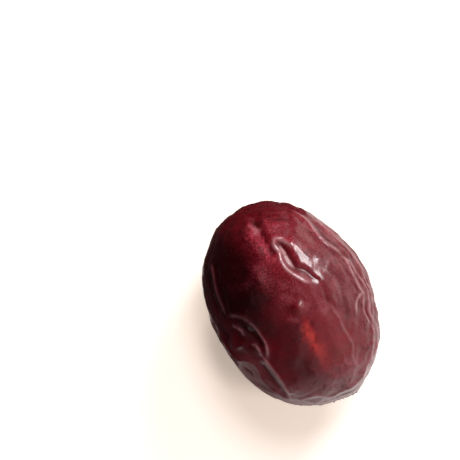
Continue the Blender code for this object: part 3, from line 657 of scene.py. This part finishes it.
# Its patterns. The first of them moves the patches and ramps about within a width of WARP_REACH millimetres
WARP, WARP_REACH = Pattern(0.35, 3.0, 0.5), 5.0
BLOTCHES = Pattern(0.16, 4.0, 0.6)
MOTTLES = Pattern(0.55, 5.0, 0.62)
STREAKS, STREAK_STRETCH = Pattern(0.36, 4.0, 0.58), (1.0, 0.45, 1.0)
GRAINS = Pattern(2.4, 1.0, 0.5)
LEATHER = Pattern(2.4, 3.0, 0.6)
WOOD = Pattern(2.2, 3.0, 0.5)
FRECKLE_SPACING, FRECKLE_RADIUS, FRECKLED_SHARE = 0.85, 0.15, 0.4

# Patches of the upper side
BLUSH = Patch((0.2, -10.4, 46.0), (1.6, 8.0, 30.0), 0.55)
BLUSH_CORE = Patch((0.2, -9.0, 46.0), (0.95, 4.0, 30.0), 0.55)
# Painted highlight: a pale strip down the crown
CROWN_PAINTED_HIGHLIGHT = Patch((0.0, 20.0, 40.0), (1.15, 6.4, 24.0), 0.5)
# Painted sheen: soft pale spots and patches, one of them the bump's highlight
PAINTED_SHEEN_SPOTS = tuple(Patch(middle, (across, along, 24.0), 0.7) for middle, across, along in (
    ((-17.0, -9.0, 30.0), 3.2, 3.4), ((-12.6, -20.0, 30.0), 2.6, 3.4), ((-3.7, 11.4, 44.0), 1.0, 2.8),
    ((0.4, 6.9, 44.0), 1.4, 1.6), ((-0.8, 3.4, 44.0), 1.8, 1.1), ((2.4, 4.4, 44.0), 1.1, 1.3),
    ((-2.4, -2.2, 44.0), 0.9, 0.9), ((2.2, -1.4, 44.0), 1.0, 1.0), ((12.0, -0.4, 42.0), 1.2, 1.6),
    ((6.8, -3.4, 44.0), 1.6, 2.0)))
# Painted highlight at the top of the crown, in the pale colour and the wax colour
CROWN_TOP_PAINTED_HIGHLIGHT = Patch((0.5, 23.6, 38.0), (1.1, 1.6, 24.0), 0.6)
# Painted sheen on the lower left side, in the wax colour
SIDE_PAINTED_SHEEN = Patch((-18.0, -15.0, 24.0), (5.0, 9.0, 16.0), 0.5)
DULL = Patch((-18.0, -13.5, 26.0), (5.5, 8.5, 20.0), 0.5)
# Painted shade: the inside of the loop's hollow is painted darker
LOOP_PAINTED_SHADE = Patch((-15.0, -4.0, 34.0), (3.4, 9.0, 22.0), 0.5)
RIGHT_DUSK = Patch((15.0, 1.0, 34.0), (6.0, 13.0, 22.0), 0.5)
LOW_DUSK = Patch((-5.0, -11.0, 40.0), (4.5, 9.0, 24.0), 0.6)
RED_GLOW = Patch((4.0, -14.5, 46.0), (6.5, 7.0, 30.0), 0.6)
MIDDLE_DUSK = Patch((-4.5, 3.0, 44.0), (6.5, 10.0, 24.0), 0.6)
# Painted highlight along the rim of the hook
HOOK_PAINTED_HIGHLIGHT = Patch((4.4, 8.6, 40.0), (3.0, 10.0, 24.0), 0.4)
# Painted highlight on the top of the bump
BUMP_PAINTED_HIGHLIGHT = Patch((1.7, 0.1, 44.0), (0.95, 0.85, 24.0), 0.6)
# Painted shade: the left side, where less light falls, is painted nearly dark wine
PAINTED_SHADE_SIDE = Patch((-11.5, 13.0, 28.0), (9.5, 16.0, 26.0), 0.45)

# The share in which each patch darkens, reddens, pales or waxes the skin. The loop's darkening is painted
# shade, and the paling and waxing patches are painted highlights and sheen
DARK_PATCHES = ((RIGHT_DUSK, 0.22), (LOW_DUSK, 0.45), (LOOP_PAINTED_SHADE, 0.4), (MIDDLE_DUSK, 0.26))
RED_PATCHES = ((RED_GLOW, 0.14), (BLUSH, 0.35))
PALE_PAINTED_HIGHLIGHTS = ((CROWN_PAINTED_HIGHLIGHT, 0.75), (CROWN_TOP_PAINTED_HIGHLIGHT, 0.6))
PAINTED_HIGHLIGHT_AND_SHEEN_PATCHES = ((BUMP_PAINTED_HIGHLIGHT, 0.32), (CROWN_TOP_PAINTED_HIGHLIGHT, 0.45), (SIDE_PAINTED_SHEEN, 0.14))
# How far the painted sheen spots are laid in the pale colour and in the wax colour
PALE_SHEEN_SHARE, WAX_SHEEN_SHARE = 0.15, 0.09
# How far the painted shade darkens the left side
PAINTED_SHADE_SIDE_SHARE = 0.95
# Painted highlight on the lines of pinched crests: more of it on the hook's rim, less on the side painted in
# shade
HOOK_HIGHLIGHT_WAX, PAINTED_SHADE_SIDE_WAX = 0.85, -0.8  # on the lines of pinched crests
# The streaks that the painted sheen leaves bare are painted darker and made less glossy
DARK_BARE, MATT_BARE = 0.22, 0.40  # in the streaks before the rims that the wax leaves bare
MATT_DULL = 0.80

# Ramps over the patterns
DARK_BLOTCHES = Ramp(0.50, 0.75, high=0.5)
FRECKLED_BLOTCHES = Ramp(0.62, 0.40, high=0.35)
BLOSSOM_DAPPLES = Ramp(0.50, 0.62, high=0.55)
BROKEN_CORE = Ramp(0.30, 0.60)
BROKEN_WAX_AND_SHEEN = Ramp(0.20, 0.55)
# Painted sheen: the streaks of its veil
PAINTED_SHEEN_STREAKS = Ramp(0.42, 0.64)
BARE_STREAKS = Ramp(0.54, 0.38)
FINE_GRAINS = Ramp(0.44, 0.66)
PALE_GRAINS = Ramp(0.44, 0.66, low=0.45, high=1.35)

# Ramps over the height of the folds, in millimetres
# Painted shade: the furrows are painted darker the deeper they are
PAINTED_SHADE_IN_FURROWS = Ramp(0.0, -0.45, high=0.40)
MATT_FURROWS = Ramp(-0.30, -0.65, high=0.7)
OUT_OF_FURROWS = Ramp(-0.35, -0.05)
CRESTS = Ramp(0.02, 0.32)

# Ramps along the fruit, in millimetres from its middle towards the blossom end
BLOSSOM_RED = Ramp(17.0, 26.0)
BEFORE_TIP = Ramp(22.0, 27.0, low=1.0, high=0.2)
CROWN_CRESTS = Ramp(9.0, 16.0, high=0.35)
GRAINS_ALONG = Ramp(-8.0, 13.0, low=0.12, high=0.38)
# Painted sheen: where its streaky veil fades along the fruit
PAINTED_SHEEN_TO_BLOSSOM = Ramp(5.0, 15.0, low=0.18, high=0.06)
PAINTED_SHEEN_TO_STEM = Ramp(-3.0, -12.0, low=1.0, high=0.4)
STEM_WAX = Ramp(-17.0, -25.0, high=0.38)

# Ramps across the fruit, in millimetres from its middle to the side with the rims
GRAINS_ACROSS = Ramp(-9.0, 0.0)
# where the painted sheen veil sets in across the fruit
PAINTED_SHEEN_ACROSS = Ramp(1.0, 9.0)
BARE_ACROSS = Ramp(9.0, 14.0)
MATT_ACROSS = Ramp(15.0, 20.0, high=0.45)
# Painted highlights: how much wax colour the lines of pinched crests get on the side with the rims and on
# the other side
PAINTED_HIGHLIGHT_ON_RIMS = Ramp(11.0, 15.0, low=0.34, high=0.915)
PAINTED_HIGHLIGHT_ON_LEFT = Ramp(-8.0, -12.5, low=0.34, high=0.84)

SKIN_ROUGHNESS, MOTTLED_ROUGHNESS, SCAR_ROUGHNESS = 0.34, 0.16, 0.8
BUMP_STRENGTH, WOOD_HEIGHT = 0.10, 4.0


class SkinWiring(Wiring):
    """The skin's wiring, with the places, forms and patterns that its layers share."""

    def __init__(self, tree):
        super().__init__(tree)
        self.place = self.millimetres()
        warp = self.vector("SUBTRACT", self.pattern(self.place, WARP, output="Color"), (0.5, 0.5, 0.5))
        self.warped = self.vector("MULTIPLY_ADD", warp, (WARP_REACH, WARP_REACH, WARP_REACH), self.place)
        axes = self.add("SeparateXYZ", Vector=self.warped).outputs
        self.across, self.along = axes["X"], axes["Y"]
        self.fold = self.attribute("fold")
        self.pinch = self.attribute("pinch")
        self.scar = self.attribute("scar")
        self.blotches = self.pattern(self.place, BLOTCHES)
        self.mottles = self.pattern(self.place, MOTTLES)
        self.streaks = self.pattern(self.vector("MULTIPLY", self.place, STREAK_STRETCH), STREAKS)
        self.bare = self.product(self.ramp(self.across, BARE_ACROSS), self.ramp(self.streaks, BARE_STREAKS))
        # spots of painted sheen
        self.painted_sheen = self.lay(0.0, *((sheen_spot, 1.0) for sheen_spot in PAINTED_SHEEN_SPOTS))

    def spot(self, patch):
        """The patch with its edge wandering."""
        return self.patch(self.warped, patch)

    def lay(self, value, *patches):
        """The value with each patch added to it in its share."""
        for patch, share in patches:
            value = self.math("MULTIPLY_ADD", self.spot(patch), share, value)
        return value


def pale_and_highlight_share(skin):
    """How far the skin is paled: on the crown's crests, in a painted highlight on the crown and painted
    sheen spots, and in fine grains on the lit side.
    """
    grains = skin.pattern(skin.place, GRAINS)
    before_tip = skin.ramp(skin.along, BEFORE_TIP)
    crests = skin.product(skin.ramp(skin.fold, CRESTS), skin.ramp(skin.along, CROWN_CRESTS), before_tip)
    pale = skin.math("MULTIPLY_ADD", skin.painted_sheen, PALE_SHEEN_SHARE, skin.lay(crests, *PALE_PAINTED_HIGHLIGHTS))
    strewn = skin.product(
        skin.ramp(skin.across, GRAINS_ACROSS), skin.ramp(skin.fold, OUT_OF_FURROWS),
        skin.ramp(skin.along, GRAINS_ALONG), skin.ramp(grains, FINE_GRAINS), before_tip)
    return skin.math("MULTIPLY_ADD", pale, skin.ramp(grains, PALE_GRAINS), strewn)


def wax_and_sheen_share(skin):
    """How far the wax colour is laid on: painted highlights on pinched crests, painted sheen in a streaky
    veil, in patches, and bloom at the stem.
    """
    # painted highlight lines on the pinched crests
    on_rims, on_left = skin.ramp(skin.across, PAINTED_HIGHLIGHT_ON_RIMS), skin.ramp(skin.across, PAINTED_HIGHLIGHT_ON_LEFT)
    highlight_lines = skin.lay(skin.math("MAXIMUM", on_rims, on_left), (HOOK_PAINTED_HIGHLIGHT, HOOK_HIGHLIGHT_WAX))
    highlight_lines = skin.product(highlight_lines, skin.lay(1.0, (PAINTED_SHADE_SIDE, PAINTED_SHADE_SIDE_WAX)))
    # a streaky painted sheen towards the side with the rims
    sheen_veil = skin.product(
        skin.ramp(skin.across, PAINTED_SHEEN_ACROSS), skin.ramp(skin.streaks, PAINTED_SHEEN_STREAKS),
        skin.ramp(skin.along, PAINTED_SHEEN_TO_BLOSSOM), skin.ramp(skin.along, PAINTED_SHEEN_TO_STEM))
    wax_and_sheen = skin.lay(skin.math("MULTIPLY_ADD", skin.pinch, highlight_lines, sheen_veil), *PAINTED_HIGHLIGHT_AND_SHEEN_PATCHES)
    wax_and_sheen = skin.math("MULTIPLY_ADD", skin.painted_sheen, WAX_SHEEN_SHARE, wax_and_sheen)
    wax_and_sheen = skin.math("ADD", skin.ramp(skin.along, STEM_WAX), wax_and_sheen)
    return skin.product(wax_and_sheen, skin.ramp(skin.mottles, BROKEN_WAX_AND_SHEEN))


def skin_colour(skin, colours):
    """The skin's colours laid over one another, from the deep red up to the dry scars."""
    blossom = skin.ramp(skin.along, BLOSSOM_RED)
    freckles = skin.group(
        specks_group(), "Mask", Vector=skin.place, Spacing=FRECKLE_SPACING, Radius=FRECKLE_RADIUS,
        Share=FRECKLED_SHARE)
    layers = (
        (colours.dark, skin.ramp(skin.blotches, DARK_BLOTCHES)),
        # of these, the loop's darkening is painted shade
        *((colours.dark, skin.spot(patch), share) for patch, share in DARK_PATCHES),
        (colours.bright, blossom),
        (colours.dark, blossom, skin.ramp(skin.mottles, BLOSSOM_DAPPLES)),
        # painted shade on the left side
        (colours.dark, skin.spot(PAINTED_SHADE_SIDE), PAINTED_SHADE_SIDE_SHARE),
        *((colours.blush, skin.spot(patch), share) for patch, share in RED_PATCHES),
        (colours.blush, skin.spot(BLUSH_CORE), skin.ramp(skin.mottles, BROKEN_CORE)),
        (colours.dark, skin.bare, DARK_BARE),
        # painted shade in the furrows
        (colours.dark, skin.ramp(skin.fold, PAINTED_SHADE_IN_FURROWS)),
        # pale colour: grains and crests, with painted highlights and sheen
        (colours.freckle_and_highlight, pale_and_highlight_share(skin)),
        # wax colour: painted highlights and sheen, with bloom at the stem
        (colours.wax_and_sheen, wax_and_sheen_share(skin)),
        (colours.freckle_and_highlight, freckles, skin.ramp(skin.blotches, FRECKLED_BLOTCHES)),
        (colours.scar, skin.scar),
    )
    colour = (*colours.deep, 1.0)
    for layer, *shares in layers:
        colour = skin.mix(skin.product(*shares), colour, (*layer, 1.0))
    return colour


def coat_weight(skin):
    """The waxy gloss: full on most of the skin, less in deep furrows and dull places, none on scars."""
    matt = skin.math("ADD", skin.ramp(skin.fold, MATT_FURROWS), skin.scar)
    matt = skin.lay(matt, (DULL, MATT_DULL))
    matt = skin.math("MULTIPLY_ADD", skin.bare, MATT_BARE, matt)
    matt = skin.math("ADD", skin.ramp(skin.across, MATT_ACROSS), matt)
    return skin.math("SUBTRACT", 1.0, matt, clamp=True)


def skin_material(colours):
    material, shader = new_material("waxy skin")
    skin = SkinWiring(material.node_tree)
    skin.feed(shader.inputs["Base Color"], skin_colour(skin, colours))
    roughness = skin.math("MULTIPLY_ADD", skin.mottles, MOTTLED_ROUGHNESS, SKIN_ROUGHNESS)
    roughness = skin.math("MAXIMUM", roughness, skin.product(skin.scar, SCAR_ROUGHNESS))
    skin.feed(shader.inputs["Roughness"], roughness)
    shader.inputs["Specular IOR Level"].default_value = 0.05
    skin.feed(shader.inputs["Coat Weight"], coat_weight(skin))
    shader.inputs["Coat Roughness"].default_value = 0.23
    shader.inputs["Sheen Weight"].default_value = 0.08
    shader.inputs["Sheen Roughness"].default_value = 0.35
    shader.inputs["Sheen Tint"].default_value = (1.0, 0.40, 0.42, 1.0)

    leather = skin.pattern(skin.place, LEATHER)
    wood = skin.product(skin.pattern(skin.place, WOOD), skin.scar, WOOD_HEIGHT)
    bump = skin.add("Bump", Height=skin.math("ADD", leather, wood), Strength=BUMP_STRENGTH, Distance=MM)
    skin.feed(shader.inputs["Normal"], bump.outputs["Normal"])
    return material


# The fruit

# The grid is finer on the upper side, where the folds are sharpest
DENSER_TOWARDS = np.array([0.05, 0.08, 0.30])


def deselect_all():
    for chosen in list(bpy.context.selected_objects):
        chosen.select_set(False)


def add_gridded_cube(name, halvings):
    """A cube with its corners at 1, each side halved again and again into a grid."""
    deselect_all()
    bpy.ops.mesh.primitive_cube_add(size=2.0)
    cube = bpy.context.object
    cube.name = cube.data.name = name
    bpy.ops.object.mode_set(mode="EDIT")
    bpy.ops.mesh.select_all(action="SELECT")
    for _ in range(halvings):
        bpy.ops.mesh.subdivide(number_cuts=1)
    bpy.ops.object.mode_set(mode="OBJECT")
    return cube


def places_of(mesh):
    places = np.empty(len(mesh.vertices) * 3, np.float32)
    mesh.vertices.foreach_get("co", places)
    return places.reshape(-1, 3).astype(float)


def put_places(mesh, places):
    mesh.vertices.foreach_set("co", places.astype(np.float32).ravel())
    mesh.update()


def put_attribute(mesh, name, values):
    mesh.attributes.new(name, "FLOAT", "POINT").data.foreach_set("value", values.astype(np.float32))


def push_out_skin(mesh, sizes):
    """Rounds the gridded cube, pushes it out to the folded skin and stands it a little into the ground."""
    round_cube = directions(np.tan(places_of(mesh) * math.pi / 4))
    unit = directions(round_cube + DENSER_TOWARDS)
    form = FruitForm(np.array([sizes.half_width, sizes.half_length, sizes.half_height]) / MM)
    relief, folds, pinches = form.relief(unit)
    points = unit * form.radii
    skin = (points + form.normals(unit) * relief[:, None]) * MM
    middle = (skin.min(axis=0) + skin.max(axis=0)) / 2
    put_places(mesh, skin - [middle[0], middle[1], skin[:, 2].min() + FLAT_SPOT_DEPTH])
    put_attribute(mesh, "fold", folds)
    put_attribute(mesh, "pinch", pinches)
    put_attribute(mesh, "scar", np.maximum(form.knob_share(points, STEM), form.knob_share(points, BLOSSOM)))


def cut_flat_spot():
    """Cuts off what is under the ground and closes the cut, whose edge is sharp."""
    bpy.ops.object.mode_set(mode="EDIT")
    bpy.ops.mesh.select_all(action="SELECT")
    bpy.ops.mesh.bisect(plane_co=(0, 0, 0), plane_no=(0, 0, 1), use_fill=True, clear_inner=True)
    bpy.ops.mesh.mark_sharp()
    bpy.ops.object.mode_set(mode="OBJECT")


def fit_to_node(mesh):
    """Takes up the last hundredths of a millimetre between this skin and the frame's solid."""
    places = places_of(mesh)
    low, high = places.min(axis=0), places.max(axis=0)
    node_low, node_high = np.array(NODE_LOW), np.array(NODE_HIGH)
    put_places(mesh, (places - low) / (high - low) * (node_high - node_low) + node_low)


class MESH_OT_passion_fruit(bpy.types.Operator):
    """Make the whole fruit: its folded skin with the stem scar and the blossom tip"""

    bl_idname = "mesh.passion_fruit"
    bl_label = "Passion fruit"

    def execute(self, context):
        sizes = context.scene.passion_fruit_sizes
        fruit = add_gridded_cube("passion_fruit_skin", sizes.fineness)
        push_out_skin(fruit.data, sizes)
        cut_flat_spot()
        fit_to_node(fruit.data)
        bpy.ops.object.shade_smooth()
        fruit.data.materials.append(skin_material(context.scene.passion_fruit_colours))
        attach(fruit, "root")
        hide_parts("passion_fruit")
        return {"FINISHED"}


# The stage

# The camera looks straight down on PICTURE_MIDDLE. Its distance is measured from the middle of the fruit's
# height, where the picture shows this much from side to side
PICTURE_SIDE = 0.1285
CAMERA_DISTANCE = 0.42
PICTURE_TURN = math.radians(28.0)  # from the fruit's long axis to the picture's upright
PICTURE_MIDDLE = Vector((EYE[0], EYE[1], 0.0)) * MM
SENSOR = 36.0  # in millimetres

# The picture's own directions
RIGHT = Vector((math.cos(PICTURE_TURN), -math.sin(PICTURE_TURN), 0.0))
UP = Vector((math.sin(PICTURE_TURN), math.cos(PICTURE_TURN), 0.0))
OUT = Vector((0.0, 0.0, 1.0))

# A round light: its direction from the fruit, as right, up and out of the picture, its distance and diameter
Lamp = namedtuple("Lamp", "name direction distance size")
KEY = Lamp("window", (0.4065, 0.733, 0.545), 0.9, 0.30)
OVERHEAD = Lamp("overhead light", (0.10, 0.50, 0.86), 0.9, 0.34)
WALL = Lamp("wall glow", (0.83, 0.44, 0.34), 1.0, 0.9)

# Brightness of the room by how far a direction looks to its bright side, from 0 away from it to 1 at it
BRIGHT_SIDE = (0.80, -0.60, 0.0)
ROOM = (
    (0.0, 0.005), (0.12, 0.01), (0.20, 0.08), (0.33, 0.15), (0.50, 0.15), (0.67, 0.50), (0.85, 0.54),
    (1.0, 0.70))
ROOM_TINT = (1.0, 0.90, 0.93)

FLOOR_SIDE = 3.0
# The floor's glow: its tint, and a painted shadow beside the fruit, where less of the glow comes up
FLOOR_TINT = (1.0, 0.82, 0.66)
PAINTED_FLOOR_SHADOW = Patch((-12.0, -6.0, 0.0), (16.5, 14.5, 40.0), 0.25)
PAINTED_FLOOR_SHADOW_SHARE = 0.40

# The black card stands round the fruit and leans outward: its radii at the foot and the top, its height, its
# distance from the floor, and the angles in degrees from +X between which it stands
CARD_FOOT, CARD_TOP, CARD_HEIGHT, CARD_LIFT = 0.032, 0.046, 0.044, 0.0005
CARD_FROM, CARD_TO = 48.0, 198.0
CARD_FACES = 96
CARD_BLACK = (0.006, 0.003, 0.003)
CARD_ROUGHNESS = 0.9  # of the floor's pale card too


def world_direction(direction):
    right, up, out = direction
    return (RIGHT * right + UP * up + OUT * out).normalized()


def add_floor(stage):
    deselect_all()
    bpy.ops.mesh.primitive_grid_add(size=FLOOR_SIDE, x_subdivisions=3, y_subdivisions=3)
    floor = bpy.context.object
    floor.name = floor.data.name = "floor"
    material, shader = new_material("pale card")
    shader.inputs["Base Color"].default_value = (*stage.floor, 1.0)
    shader.inputs["Roughness"].default_value = CARD_ROUGHNESS
    shader.inputs["Emission Color"].default_value = (*FLOOR_TINT, 1.0)
    wiring = Wiring(material.node_tree)
    # a painted shadow on the floor beside the fruit
    painted_shadow = wiring.patch(wiring.millimetres(), PAINTED_FLOOR_SHADOW)
    seen = wiring.add("LightPath").outputs["Is Camera Ray"]
    spill = stage.floor_glow * stage.floor_spill
    shown = wiring.math("MULTIPLY_ADD", painted_shadow, -PAINTED_FLOOR_SHADOW_SHARE * stage.floor_glow, stage.floor_glow - spill)
    wiring.feed(shader.inputs["Emission Strength"], wiring.math("MULTIPLY_ADD", seen, shown, spill))
    floor.data.materials.append(material)


def add_dark_card():
    """A curved black card at the side away from the light, which only the fruit's gloss sees."""
    deselect_all()
    bpy.ops.mesh.primitive_cone_add(
        vertices=CARD_FACES, radius1=CARD_FOOT, radius2=CARD_TOP, depth=CARD_HEIGHT,
        end_fill_type="NOTHING", location=(0.0, 0.0, CARD_HEIGHT / 2 + CARD_LIFT))
    card = bpy.context.object
    card.name = card.data.name = "dark card"
    bpy.ops.object.mode_set(mode="EDIT")
    bpy.ops.mesh.select_all(action="DESELECT")
    bpy.ops.object.mode_set(mode="OBJECT")
    for face in card.data.polygons:
        azimuth = math.degrees(math.atan2(face.center.y, face.center.x)) % 360
        face.select = not CARD_FROM < azimuth < CARD_TO
    bpy.ops.object.mode_set(mode="EDIT")
    bpy.ops.mesh.delete(type="FACE")
    bpy.ops.object.mode_set(mode="OBJECT")
    material, shader = new_material("black card")
    shader.inputs["Base Color"].default_value = (*CARD_BLACK, 1.0)
    shader.inputs["Roughness"].default_value = CARD_ROUGHNESS
    shader.inputs["Specular IOR Level"].default_value = 0.0
    card.data.materials.append(material)
    card.visible_camera = False
    card.visible_shadow = False
    card.visible_diffuse = False


def add_lamp(lamp, power):
    direction = world_direction(lamp.direction)
    light = bpy.data.lights.new(lamp.name, "AREA")
    light.shape = "DISK"
    light.size = lamp.size
    light.energy = power
    holder = bpy.data.objects.new(lamp.name, light)
    bpy.context.scene.collection.objects.link(holder)
    holder.location = Vector((0.0, 0.0, NODE_HIGH.z / 2)) + direction * lamp.distance
    holder.rotation_mode = "QUATERNION"
    holder.rotation_quaternion = direction.to_track_quat("Z", "Y")
    return holder


def add_camera():
    camera = bpy.data.cameras.new("camera")
    camera.sensor_width = SENSOR
    camera.lens = SENSOR * CAMERA_DISTANCE / PICTURE_SIDE
    camera.clip_start = 0.01
    holder = bpy.data.objects.new("camera", camera)
    bpy.context.scene.collection.objects.link(holder)
    turn = Matrix((RIGHT, UP, OUT)).transposed().to_4x4()
    place = PICTURE_MIDDLE + OUT * (NODE_HIGH.z / 2 + CAMERA_DISTANCE)
    holder.matrix_world = Matrix.Translation(place) @ turn
    bpy.context.scene.camera = holder


def light_room(sky):
    """Surrounds the fruit with a room that is dark on one side and bright on the other."""
    world = bpy.data.worlds.new("room")
    bpy.context.scene.world = world
    world.use_nodes = True
    wiring = Wiring(world.node_tree)
    direction = wiring.add("TexCoord").outputs["Generated"]
    facing = wiring.vector("DOT_PRODUCT", direction, BRIGHT_SIDE, output="Value")
    ramp = wiring.add("ValToRGB", Fac=wiring.math("MULTIPLY_ADD", facing, 0.5, 0.5))
    ramp.color_ramp.interpolation = "EASE"
    stops = ramp.color_ramp.elements
    while len(stops) < len(ROOM):
        stops.new(0.5)
    for stop, (position, brightness) in zip(stops, ROOM):
        stop.position = position
        stop.color = (*(brightness * tint for tint in ROOM_TINT), 1.0)
    background = world.node_tree.nodes["Background"]
    wiring.feed(background.inputs["Color"], ramp.outputs["Color"])
    background.inputs["Strength"].default_value = sky


class SCENE_OT_passion_fruit_stage(bpy.types.Operator):
    """Lay the floor, hang the lights and set up the camera"""

    bl_idname = "scene.passion_fruit_stage"
    bl_label = "Stage"

    def execute(self, context):
        stage = context.scene.passion_fruit_stage
        add_floor(stage)
        add_dark_card()
        add_lamp(KEY, stage.key_power)
        overhead = add_lamp(OVERHEAD, stage.overhead_power)
        overhead.visible_glossy = False
        add_lamp(WALL, stage.wall_power)
        light_room(stage.sky)
        add_camera()
        context.scene.view_settings.view_transform = "Standard"
        return {"FINISHED"}


class VIEW3D_PT_passion_fruit(bpy.types.Panel):
    bl_label = "Passion fruit"
    bl_idname = "VIEW3D_PT_passion_fruit"
    bl_space_type = "VIEW_3D"
    bl_region_type = "UI"
    bl_category = "Passion fruit"

    def draw(self, context):
        for operator in OPERATORS:
            self.layout.operator(operator.bl_idname)
        for name, group in SETTINGS.items():
            box = self.layout.box()
            for setting in group.__annotations__:
                box.prop(getattr(context.scene, name), setting)


OPERATORS = (MESH_OT_passion_fruit, SCENE_OT_passion_fruit_stage)
SETTINGS = {
    "passion_fruit_sizes": PassionFruitSizes,
    "passion_fruit_colours": PassionFruitColours,
    "passion_fruit_stage": PassionFruitStage,
}


def register():
    for kind in (*SETTINGS.values(), *OPERATORS, VIEW3D_PT_passion_fruit):
        bpy.utils.register_class(kind)
    for name, group in SETTINGS.items():
        setattr(bpy.types.Scene, name, PointerProperty(type=group))


def unregister():
    for name in SETTINGS:
        delattr(bpy.types.Scene, name)
    for kind in (VIEW3D_PT_passion_fruit, *reversed(OPERATORS), *reversed(SETTINGS.values())):
        bpy.utils.unregister_class(kind)


def main():
    register()
    bpy.ops.mesh.passion_fruit()
    bpy.ops.scene.passion_fruit_stage()


if __name__ == "__main__":
    main()
